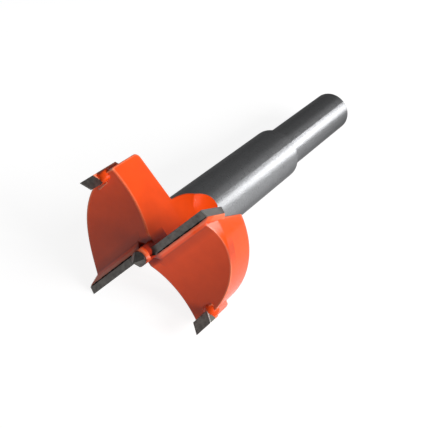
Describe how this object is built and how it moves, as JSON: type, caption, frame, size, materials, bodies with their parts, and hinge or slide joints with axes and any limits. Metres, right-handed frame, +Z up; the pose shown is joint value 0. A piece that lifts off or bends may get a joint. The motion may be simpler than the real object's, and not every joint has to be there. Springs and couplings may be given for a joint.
{
  "type": "hinge-boring forstner bit",
  "caption": "Hinge-boring forstner bit: a painted, winged head with brazed hard-metal edges, scoring spurs and a centre point, on a turned steel neck and a round shank.",
  "frame": {"origin": "on the surface the bit lies on, under the middle of its bounding box", "axes": "+X from the head towards the shank's end, with the bit's axis dipping six degrees below it; +Z up; the bit lies on the outer corner of one cutter plate, the rim of the gullet wall beside it and the rim of the shank"},
  "size_m": [0.0904, 0.0322, 0.0274],
  "materials": {
    "painted_steel": "orange paint on the head, bare turned steel on neck and shank",
    "hard_metal": "dark ground hard metal"
  },
  "bodies": {
    "root": {"body": "painted_steel", "centre_point": "hard_metal", "cutter_plate_1": "hard_metal", "cutter_plate_2": "hard_metal", "spur_tip_1": "hard_metal", "spur_tip_2": "hard_metal"}
  },
  "joints": []
}
